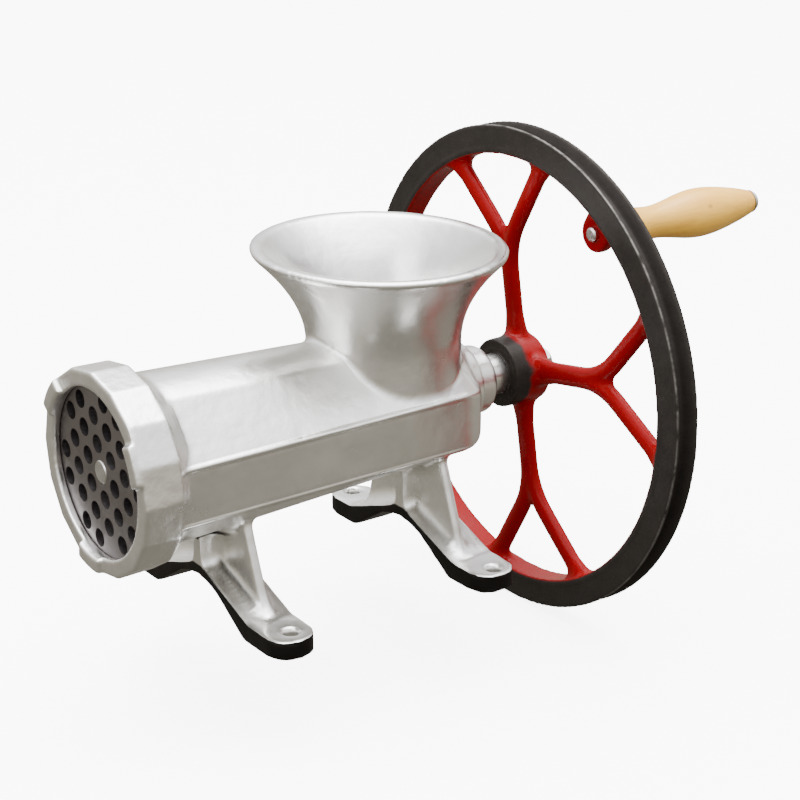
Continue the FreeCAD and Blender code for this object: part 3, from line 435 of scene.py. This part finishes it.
def cast_body():
    """The body with the soft corners and edges of a casting."""
    piece = fresh_copy("grinder_body", "cast_body")
    fillet = 0.0038
    recast(piece, 0.0013)
    swell(piece, lambda p: fillet * max(leg_zone(p), neck_zone(p)))
    recast(piece, 0.0012)
    swell(piece, lambda p: -fillet * max(leg_zone(p), neck_zone(p)))
    rub_down(piece, 3)
    rub_down(piece, 6, lambda p: leg_zone(p) > 0.1)
    rub_down(piece, 5, lambda p: p.z > BODY_TOP - 0.006)
    thin_out(piece, 190000)
    # Store the painted shade mask that darkens the tinned body.
    paint_mask(piece, "painted_shade", painted_shade_on_body)
    piece.data.materials.append(tinned_casting("tinned_body", 0.0004, True))
    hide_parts("grinder_body")
    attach(piece, "grinder")


def cast_nut():
    """The ring nut with rounded lugs and a hand-dressed outside."""
    piece = fresh_copy("ring_nut", "cast_ring_nut")
    recast(piece, 0.0008)
    rub_down(piece, 7)
    thin_out(piece, 90000)
    piece.data.materials.append(tinned_casting("tinned_nut", 0.0006, False))
    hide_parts("ring_nut")
    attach(piece, "ring")


def cast_wheel():
    """The wheel with soft-cornered spokes."""
    piece = fresh_copy("flywheel", "cast_wheel")
    fillet = 0.0025

    def spokes(point):
        reach = from_shaft(point)
        short_of_rim = 1 - smooth_step(RIM_BORE + 0.0005, RIM_BORE + 0.003, reach)
        return smooth_step(0.0125, 0.0145, reach) * short_of_rim

    recast(piece, 0.0011)
    swell(piece, lambda p: fillet * spokes(p))
    recast(piece, 0.0010)
    swell(piece, lambda p: -fillet * spokes(p))
    rub_down(piece, 2)
    rub_down(piece, 4, lambda p: spokes(p) > 0.1)
    thin_out(piece, 190000)
    piece.data.materials.append(wheel_paint())
    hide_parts("flywheel")
    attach(piece, "rotor")


def turned_grip():
    """The wooden grip, sanded smooth."""
    piece = fresh_copy("wooden_grip", "turned_grip")
    recast(piece, 0.0007)
    rub_down(piece, 4)
    thin_out(piece, 60000)
    piece.data.materials.append(varnished_wood())
    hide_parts("wooden_grip")
    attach(piece, "grip")


def finish_plain_nodes():
    """Materials for the CAD nodes that keep their own meshes."""
    finishes = {
        "tinned": tinned_casting("tinned_screw", 0.0004, False),
        "plate_steel": plate_steel(),
        "steel": turned_steel(),
        "bronze": bronze(),
        "fibre": fibre(),
    }
    for part in frame["record"]["subparts"]:
        material = finishes.get(part["material_slot"])
        if material:
            mesh = frame["nodes"][part["node"]].data
            mesh.materials.clear()
            mesh.materials.append(material)


# ---------------------------------------------------------------- stage
def floor():
    """A wide pale floor just under the wheel."""
    work = bmesh.new()
    bmesh.ops.create_grid(work, x_segments=1, y_segments=1, size=12)
    bmesh.ops.translate(work, verts=work.verts, vec=(0, 0, WHEEL_LOW.z - 0.0005))
    mesh = bpy.data.meshes.new("floor")
    work.to_mesh(mesh)
    work.free()
    ground = bpy.data.objects.new("floor", mesh)
    bpy.context.scene.collection.objects.link(ground)
    glow = {"Emission_Color": (1, 1, 1, 1), "Emission_Strength": 6.0}
    shader = Shader("pale_floor", metallic=0.0, roughness=0.9, **glow)
    shader.colour(shader.mixed(shader.cloud(0.5), (0.93, 0.93, 0.925, 1), (0.95, 0.95, 0.945, 1)))
    mesh.materials.append(shader.material)
    ground.visible_glossy = False
    ground.visible_diffuse = False


def sky():
    """Soft white light from above that fades to grey below the horizon."""
    world = bpy.data.worlds.new("studio")
    bpy.context.scene.world = world
    world.use_nodes = True
    tree = world.node_tree
    light = tree.nodes["Background"]
    direction = tree.nodes.new("ShaderNodeTexCoord")
    parts = tree.nodes.new("ShaderNodeSeparateXYZ")
    ramp = tree.nodes.new("ShaderNodeValToRGB")
    half = tree.nodes.new("ShaderNodeMath")
    half.operation = "MULTIPLY_ADD"
    half.inputs[1].default_value = 0.5
    half.inputs[2].default_value = 0.5
    tree.links.new(direction.outputs["Generated"], parts.inputs[0])
    tree.links.new(parts.outputs["Z"], half.inputs[0])
    tree.links.new(half.outputs[0], ramp.inputs[0])
    tree.links.new(ramp.outputs[0], light.inputs["Color"])
    stops = ramp.color_ramp.elements
    stops[0].position, stops[0].color = 0.0, (0.030, 0.028, 0.023, 1)
    stops[1].position, stops[1].color = 1.0, (1.0, 1.0, 1.0, 1)
    warm, cool = (1.0, 0.93, 0.77), (0.99, 0.99, 1.0)
    for position, shade, tint in (
        (0.15, 0.036, warm),
        (0.33, 0.042, warm),
        (0.50, 0.100, warm),
        (0.67, 0.17, cool),
        (0.84, 0.29, cool),
        (0.94, 0.75, cool),
    ):
        stops.new(position).color = (*(shade * part for part in tint), 1)
    light.inputs["Strength"].default_value = 8.0


def lamp(name, place, aim, size, power):
    """A large soft light aimed at a point."""
    data = bpy.data.lights.new(name, "AREA")
    data.shape = "RECTANGLE"
    data.size, data.size_y = size
    data.energy = power
    light = bpy.data.objects.new(name, data)
    bpy.context.scene.collection.objects.link(light)
    light.location = place
    light.rotation_euler = (Vector(aim) - Vector(place)).to_track_quat("-Z", "Y").to_euler()


def camera():
    """A long lens from the outlet's right, a little above the hopper."""
    look_at = Vector((0.0404, -0.0186, 0.1006))
    azimuth, elevation, roll = math.radians(35.02), math.radians(20.06), math.radians(-0.57)
    distance = 1.1748
    back = Vector(
        (
            -math.sin(azimuth) * math.cos(elevation),
            -math.cos(azimuth) * math.cos(elevation),
            math.sin(elevation),
        )
    )
    data = bpy.data.cameras.new("camera")
    data.lens = 95.4
    data.sensor_width = 36.0
    viewer = bpy.data.objects.new("camera", data)
    bpy.context.scene.collection.objects.link(viewer)
    turn = (-back).to_track_quat("-Z", "Y").to_matrix() @ Matrix.Rotation(roll, 3, "Z")
    viewer.matrix_world = Matrix.Translation(look_at + back * distance) @ turn.to_4x4()
    bpy.context.scene.camera = viewer


camera()
sky()
floor()
lamp("overhead", (0.2, 0.3, 1.6), (0.04, 0, 0.1), (1.6, 1.2), 30)
lamp("left_side", (-1.4, -0.3, 0.9), (0.0, 0, 0.1), (0.9, 0.9), 8)
cast_body()
cast_nut()
cast_wheel()
turned_grip()
finish_plain_nodes()
